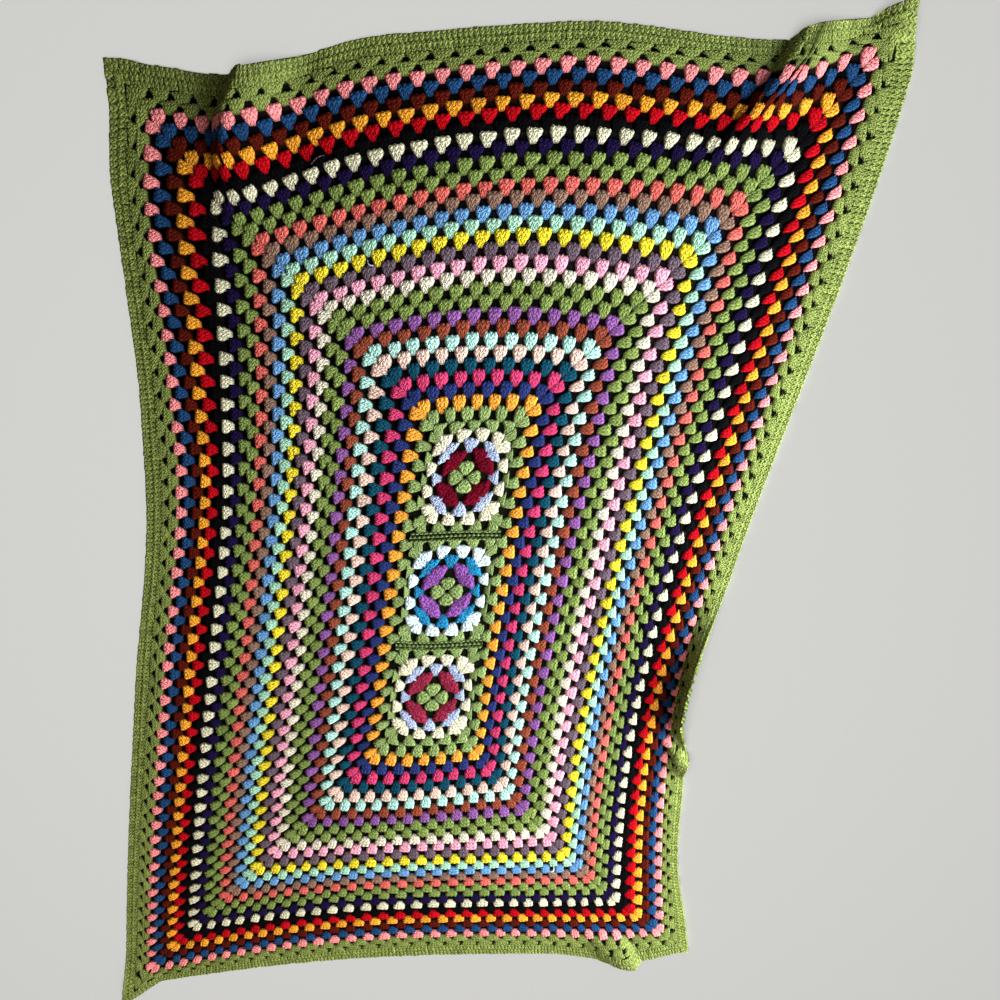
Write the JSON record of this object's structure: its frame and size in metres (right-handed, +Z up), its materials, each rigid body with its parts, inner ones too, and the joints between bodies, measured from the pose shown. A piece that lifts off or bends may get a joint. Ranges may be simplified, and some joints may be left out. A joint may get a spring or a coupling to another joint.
{
  "type": "granny square blanket",
  "caption": "Crocheted blanket with a column of granny squares, many striped cluster rounds and a plain green border, spread out flat with a few folds.",
  "frame": {"origin": "centre of the middle square on its underside, the level of the surface that the blanket lies on", "axes": "+Z straight up, out of the blanket's face; +Y towards its top edge, along the length; +X to the right, along the width"},
  "size_m": [0.8515, 1.1027, 0.034],
  "materials": {
    "square_top": "crocheted yarn, dull",
    "square_middle": "crocheted yarn, dull",
    "square_bottom": "crocheted yarn, dull",
    "striped_surround": "crocheted yarn, dull",
    "border": "crocheted yarn, dull"
  },
  "bodies": {
    "root": {"square_top": "square_top", "square_middle": "square_middle", "square_bottom": "square_bottom", "striped_surround": "striped_surround", "border": "border"}
  },
  "joints": []
}
